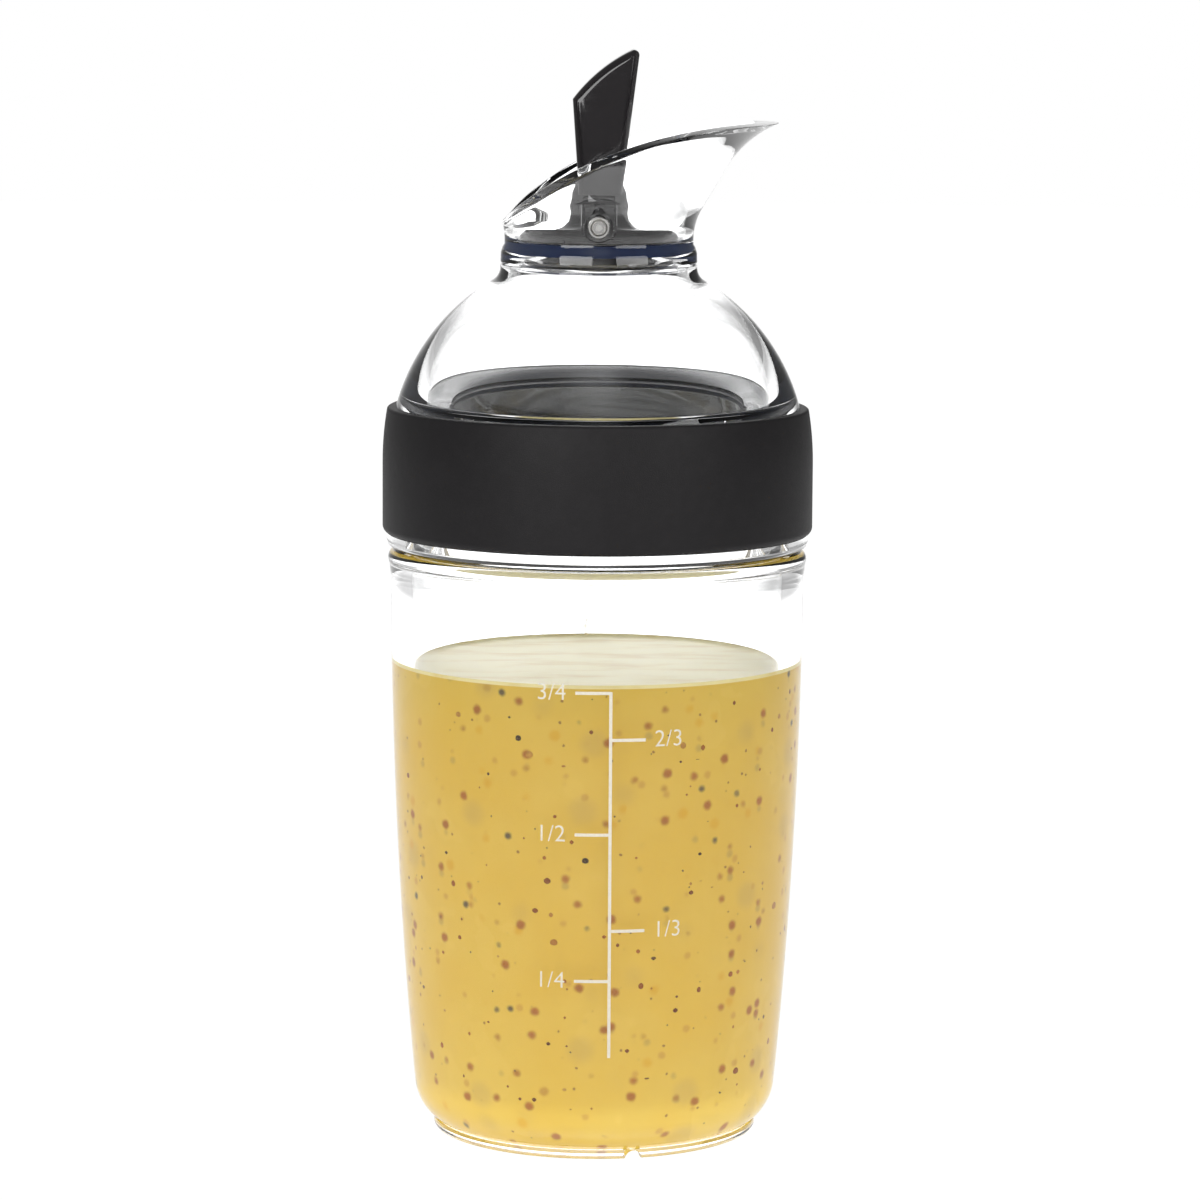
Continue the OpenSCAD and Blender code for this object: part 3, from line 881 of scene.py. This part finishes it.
def even(points, count):
    """The same row with its points evenly spaced."""
    marks = [0]
    for a, b in zip(points, points[1:]):
        marks.append(marks[-1] + math.dist(a, b))
    row, low = [], 0
    for i in range(count):
        want = marks[-1] * i / (count - 1)
        while low < len(marks) - 2 and marks[low + 1] < want:
            low += 1
        part = (want - marks[low]) / (marks[low + 1] - marks[low])
        row.append(tuple(a + (b - a) * part for a, b in zip(points[low], points[low + 1])))
    return row


def rim_share(side, turn, spout):
    """How far up a side of the wall the slanted rim is, in the direction turn round the axis."""
    low, high = 0.0, 1.0
    for _ in range(30):
        middle = (low + high) / 2
        r, z = along(side, middle)
        over = math.dist((r * math.cos(turn), z), (spout.cut_x, spout.cut_z)) > spout.cut
        low, high = (low, middle) if over else (middle, high)
    return low


def bent(start, corner, end, steps):
    """Points along a soft corner."""
    row = []
    for i in range(1, steps + 1):
        t = i / steps
        row.append(tuple((1 - t) ** 2 * a + 2 * t * (1 - t) * b + t * t * c
                         for a, b, c in zip(start, corner, end)))
    return row


def spout_ring(spout, outer, inner, turn, rows):
    """The wall's outline in one direction round the axis, as a ring of points."""
    square = spout.rim_turn * abs(math.sin(turn))
    out_share = rim_share(outer, turn, spout) - square / span(outer)
    in_share = rim_share(inner, turn, spout) + square / span(inner)
    out_top, in_top = along(outer, out_share), along(inner, in_share)
    thick = math.dist(out_top, in_top)
    pull = min(spout.rim_round, 0.42 * thick)
    out_length = out_share * span(outer)
    in_length = in_share * span(inner)
    out_rows = [along(outer, out_share * (1 - pull / out_length) * i / rows)
                for i in range(rows + 1)]
    in_rows = [along(inner, in_share * (1 - pull / in_length) * i / rows)
               for i in range(rows + 1)]
    across = [(b - a) * pull / thick for a, b in zip(out_top, in_top)]
    out_flat = tuple(a + d for a, d in zip(out_top, across))
    in_flat = tuple(a - d for a, d in zip(in_top, across))
    rim = (bent(out_rows[-1], out_top, out_flat, 5) + [in_flat]
           + bent(in_flat, in_top, in_rows[-1], 5))
    base_z = 141.9 * MM
    low_z = base_z - spout.spigot
    collar = [(15.65, 0.05), (15.95, 0.5), (15.9, 2), (15.6, 2.9), (15.3, 3.4)]
    seat_low = -math.degrees(math.acos(spout.throat / spout.seat))
    below = ([(spout.throat, low_z + 0.4 * MM)]
             + arc(0, spout.pivot_z, spout.seat, seat_low, 3, 12))
    return ([(14.45 * MM, low_z), (14.45 * MM, base_z + SKIN_GAP)]
            + [(r * MM, base_z + z * MM) for r, z in collar]
            + out_rows + rim + in_rows[-2::-1]
            + below[::-1] + [(spout.throat + 0.4 * MM, low_z)])


def span(points):
    """Length of a row of points."""
    return sum(math.dist(a, b) for a, b in zip(points, points[1:]))


class SHAKER_OT_spout(bpy.types.Operator):
    """Clear trumpet spout with its slanted, rounded rim and its pin pockets"""

    bl_idname = "shaker.spout"
    bl_label = "Pour spout"

    def execute(self, context):
        spout = context.scene.shaker_spout
        outer = even(trumpet_side(spout, False), 400)
        inner = even(trumpet_side(spout, True), 400)
        rows, steps = 34, 192
        rings = [spout_ring(spout, outer, inner, 2 * math.pi * i / steps, rows)
                 for i in range(steps)]
        deselect()
        bpy.ops.mesh.primitive_torus_add(
            major_segments=steps, minor_segments=len(rings[0]), major_radius=20 * MM,
            minor_radius=2 * MM, location=(0, 0, 0))
        made = bpy.context.object
        made.name = made.data.name = "spout_clear"
        for index, vertex in enumerate(made.data.vertices):
            turn, row = divmod(index, len(rings[0]))
            angle = 2 * math.pi * turn / steps
            r, z = rings[turn][row]
            vertex.co = (r * math.cos(angle), r * math.sin(angle), z)
        bpy.ops.object.mode_set(mode="EDIT")
        bpy.ops.mesh.select_all(action="SELECT")
        bpy.ops.mesh.normals_make_consistent(inside=False)
        bpy.ops.object.mode_set(mode="OBJECT")
        pin_cuts(made, spout, outer)
        colours = context.scene.shaker_colours
        dressed(made, clear_plastic("spout_plastic", colours.clear), "lid", "lid_clear",
                "pour_spout")
        return {"FINISHED"}


def pin_cuts(made, spout, outer):
    """Cuts the pockets, the recesses and the hole for the pin into the spout."""
    top = spout.pivot_z + 3.8 * MM
    deselect()
    half = spout.pocket
    outline = [(x, spout.pivot_z + z) for x, z in arc(0, 0, half, 180, 360, 24)]
    outline += [(half, top), (-half, top)]
    prism = upright_prism(outline, 40 * MM)
    depth = spout.pocket_depth
    core = [(0, 141 * MM)] + [(r - depth, z) for r, z in
            [(15.95 * MM, 141 * MM), (15.9 * MM, 143.9 * MM), (15.6 * MM, 144.8 * MM),
             (15.3 * MM, 145.3 * MM)] + outer[:240:8]] + [(0, outer[232][1])]
    boolean(prism, spun("core", core, ring=False), "DIFFERENCE")
    boolean(made, prism, "DIFFERENCE")
    for radius, low, high in ((spout.pin - 0.02 * MM, -25, 25), (spout.sink, 14.8, 24.8),
                              (spout.sink, -24.8, -14.8)):
        deselect()
        bpy.ops.mesh.primitive_cylinder_add(
            vertices=48, radius=radius, depth=(high - low) * MM,
            location=(0, (low + high) / 2 * MM, spout.pivot_z), rotation=(math.pi / 2, 0, 0))
        boolean(made, bpy.context.object, "DIFFERENCE")


def upright_prism(outline, depth):
    """A prism along Y over an outline of (x, z) points."""
    deselect()
    bpy.ops.mesh.primitive_circle_add(
        vertices=len(outline), radius=MM, fill_type="NGON", location=(0, 0, 0))
    made = bpy.context.object
    for vertex, (x, z) in zip(made.data.vertices, outline):
        vertex.co = (x, -depth / 2, z)
    bpy.ops.object.mode_set(mode="EDIT")
    bpy.ops.mesh.select_all(action="SELECT")
    bpy.ops.mesh.extrude_region_move(TRANSFORM_OT_translate={"value": (0, depth, 0)})
    bpy.ops.mesh.select_all(action="SELECT")
    bpy.ops.mesh.normals_make_consistent(inside=False)
    bpy.ops.object.mode_set(mode="OBJECT")
    return made


class SHAKER_OT_band(bpy.types.Operator):
    """Soft black band moulded round the lid's skirt"""

    bl_idname = "shaker.band"
    bl_label = "Grip band"

    def execute(self, context):
        # The last argument is the radius inside which the band's colour is painted darker, as painted
        # shade.
        look = soft_rubber("band_rubber", context.scene.shaker_colours.band, 0.5,
                           0.2 * MM, 0.04 * MM, context.scene.shaker_lid.band_seat + 0.1 * MM)
        dressed(smooth_copy("grip_band", "band_rubber"), look, "lid", "grip_rubber", "grip_band")
        return {"FINISHED"}


class SHAKER_OT_rings(bpy.types.Operator):
    """The gasket under the lid and the seal round the stopper"""

    bl_idname = "shaker.rings"
    bl_label = "Gasket and seal"

    def execute(self, context):
        colours = context.scene.shaker_colours
        look = soft_rubber("gasket_silicone", colours.gasket, 0.42, 0.5 * MM, 0.003 * MM)
        dressed(smooth_copy("lid_gasket", "gasket_ring"), look, "lid_gasket",
                "gasket_silicone", "lid_gasket")
        look = soft_rubber("seal_silicone", colours.seal, 0.38, 0.5 * MM, 0.003 * MM)
        spout = context.scene.shaker_spout
        seal = smooth_copy("stopper_seal", "seal_ring")
        pivot = Vector((0, 0, spout.pivot_z))
        for vertex in seal.data.vertices:
            away = vertex.co - pivot
            if away.length > spout.seat - 0.15 * MM:
                vertex.co = pivot + away * ((spout.seat + SKIN_GAP) / away.length)
        dressed(seal, look, "lever", "seal_silicone", "stopper_seal")
        return {"FINISHED"}


class SHAKER_OT_lever(bpy.types.Operator):
    """Glossy black lever and stopper"""

    bl_idname = "shaker.lever"
    bl_label = "Lever"

    def execute(self, context):
        look = gloss_black(context.scene.shaker_colours.lever)
        dressed(smooth_copy("lever", "lever_gloss"), look, "lever", "lever_black", "lever")
        return {"FINISHED"}


class SHAKER_OT_pin(bpy.types.Operator):
    """Turned steel pivot pin with a rolled rim round each end"""

    bl_idname = "shaker.pin"
    bl_label = "Pivot pin"

    def execute(self, context):
        spout = context.scene.shaker_spout
        look = turned_steel(context.scene.shaker_colours.steel)
        low, high, edge = 14.75 * MM, 15.1 * MM, 0.15 * MM
        inner, outer = spout.pin + 0.12 * MM, spout.pin + 0.6 * MM
        heads = []
        for side in (-1, 1):
            head = spun("head", [
                (inner, low), (outer, low), (outer, high - edge), (outer - edge, high),
                (inner + edge, high), (inner, high - edge)], 48)
            head.rotation_euler = (side * math.pi / 2, 0, 0)
            head.location = (0, 0, spout.pivot_z)
            heads.append(head)
        made = smooth_copy("pivot_pin", "pin_steel")
        for head in heads:
            head.select_set(True)
        bpy.context.view_layer.objects.active = made
        bpy.ops.object.join()
        dressed(made, look, "lid", "pin_steel", "pivot_pin")
        return {"FINISHED"}


class SHAKER_OT_stage(bpy.types.Operator):
    """Pale floor, studio world, lamps and camera"""

    bl_idname = "shaker.stage"
    bl_label = "Stage"

    def execute(self, context):
        scene = context.scene
        scene.view_settings.view_transform = "Standard"
        deselect()
        bpy.ops.mesh.primitive_circle_add(
            vertices=96, radius=3, fill_type="NGON", location=(0, 0, -0.0002))
        floor = bpy.context.object
        floor.name = "floor"
        floor.data.materials.append(white_floor())
        studio_world(scene)
        middle, reach = Vector((0, 0, 0.12)), 1.25
        for name, turn, wide, tall, power in (
                ("window_left", -27, 0.9, 0.44, 7), ("window_right", 40, 0.9, 0.44, 5)):
            turn = math.radians(turn)
            away = Vector((reach * math.sin(turn), -reach * math.cos(turn), 0.31))
            bpy.ops.object.light_add(
                type="AREA", location=middle + away,
                rotation=(-away).to_track_quat("-Z", "Y").to_euler())
            lamp = bpy.context.object
            lamp.name = lamp.data.name = name
            lamp.data.shape = "RECTANGLE"
            lamp.data.size, lamp.data.size_y = wide, tall
            lamp.data.energy = power
            lamp.visible_camera = False
            lamp.visible_transmission = False
        tilt, roll = math.radians(90 - 7.5), math.radians(0.33)
        bpy.ops.object.camera_add(location=(0, 0, 0))
        camera = bpy.context.object
        camera.name = "photo_camera"
        camera.matrix_world = (
            Matrix.Translation((0.0005, -0.8, 0.1924))
            @ Matrix.Rotation(tilt, 4, "X") @ Matrix.Rotation(roll, 4, "Z"))
        camera.data.sensor_width = 36
        camera.data.lens = 36 * 4939 / 1200
        camera.data.clip_start, camera.data.clip_end = 0.01, 20
        scene.camera = camera
        return {"FINISHED"}


def white_floor():
    """White floor that shows white and lights the bottle from below. Gloss sees it darken
    towards the front, where the studio is dark."""
    made = finish("white_floor")
    path = made.node("LightPath")
    camera, gloss, through = (
        Value(path.outputs[f"Is {kind} Ray"]) for kind in ("Camera", "Glossy", "Transmission"))
    at = made.place()
    split = made.node("SeparateXYZ", {}, {0: at})
    far = Value(split.outputs["Y"]).ramp(-0.25, -0.7)
    aside = Value(split.outputs["X"]).size().ramp(0.1, 0.8)
    grain = made.noise(at, 2 * MM, 2)
    matte = made.node("BsdfPrincipled", {}, {
        "Base Color": made.mix(grain * 0.1, (0.9, 0.9, 0.9), (0.86, 0.86, 0.86)),
        "Roughness": 0.9, "Specular IOR Level": 0.1})
    seen = camera.most(gloss).most(through)
    dimmed = (1 - 0.7 * far) * (1 - 0.6 * aside)
    shine = camera * 1.06 + gloss * dimmed + through * 1.04 * dimmed
    glow = made.node("Emission", {}, {"Color": (1, 1, 1), "Strength": shine})
    both = made.node("MixShader", {}, {0: seen * 0.95})
    made.tree.links.new(matte.outputs[0], both.inputs[1])
    made.tree.links.new(glow.outputs[0], both.inputs[2])
    made.output(both.outputs[0])
    return made.owner


def studio_world(scene):
    """White to the camera, darker to the sides and in front for gloss, and plain as a lamp."""
    world = bpy.data.worlds.new("studio")
    scene.world = world
    made = Finish(world)
    split = made.node("SeparateXYZ", {}, {0: made.out("TexCoord", "Generated")})
    side, back, up = (Value(split.outputs[axis]) for axis in "XYZ")
    path = made.node("LightPath")
    camera, gloss, through = (
        Value(path.outputs[f"Is {kind} Ray"]) for kind in ("Camera", "Glossy", "Transmission"))
    in_front = back.ramp(-0.1, -0.6)
    overhead = up.ramp(0.3, 0.8)
    at_side = side.ramp(0.02, 0.4) + (0 - side).ramp(0.04, 0.5) * 0.8
    dimmed = (1 - in_front * 0.72 * (1 - overhead * 0.6)) * (1 - at_side * 0.75)
    ceiling = up.ramp(0.55, 0.9)
    shade = dimmed * (1 - ceiling * 0.8)
    seen = camera.most(gloss).most(through)
    lamp = (1 - seen) * (0.3 - 0.2 * side.size() + ceiling * 0.4)
    bounced = Value(path.outputs["Diffuse Depth"]).ramp(0.2, 0.8)
    within = through * shade * (1.04 + up.ramp(0.12, 0.3) * 1.5 - up.ramp(0.45, 0.75) * 1.3)
    within = within + through * bounced * ceiling * 2.2
    sheen = gloss * dimmed * (1 - at_side * 0.4) * (1 - ceiling * 0.3)
    strength = camera + sheen + within + lamp
    glow = made.node("Background", {}, {"Color": (1, 1, 1), "Strength": strength})
    made.output(glow.outputs[0], "OutputWorld")


OPERATORS = (
    SHAKER_OT_stage, SHAKER_OT_jar, SHAKER_OT_dressing, SHAKER_OT_seeds, SHAKER_OT_scale,
    SHAKER_OT_dome, SHAKER_OT_spout, SHAKER_OT_band, SHAKER_OT_rings, SHAKER_OT_lever,
    SHAKER_OT_pin)
SETTINGS = {
    "shaker_jar": ShakerJarSizes,
    "shaker_lid": ShakerLidSizes,
    "shaker_spout": ShakerSpoutSizes,
    "shaker_thread": ShakerThreadSizes,
    "shaker_colours": ShakerColours,
}


class SHAKER_PT_panel(bpy.types.Panel):
    """Sizes, colours and pieces of the shaker bottle"""

    bl_label = "Shaker bottle"
    bl_idname = "SHAKER_PT_panel"
    bl_space_type = "VIEW_3D"
    bl_region_type = "UI"
    bl_category = "Shaker"

    def draw(self, context):
        for name, group in SETTINGS.items():
            box = self.layout.box()
            box.label(text=group.__doc__)
            for key in group.__annotations__:
                box.prop(getattr(context.scene, name), key)
        for operator in OPERATORS:
            self.layout.operator(operator.bl_idname)


def register():
    for item in (*SETTINGS.values(), *OPERATORS, SHAKER_PT_panel):
        bpy.utils.register_class(item)
    for name, group in SETTINGS.items():
        setattr(bpy.types.Scene, name, bpy.props.PointerProperty(type=group))


def unregister():
    for name in SETTINGS:
        delattr(bpy.types.Scene, name)
    for item in (SHAKER_PT_panel, *reversed(OPERATORS), *SETTINGS.values()):
        bpy.utils.unregister_class(item)


def main():
    """Builds the stage and every piece."""
    register()
    for operator in OPERATORS:
        group, name = operator.bl_idname.split(".")
        getattr(getattr(bpy.ops, group), name)()


if __name__ == "__main__":
    main()
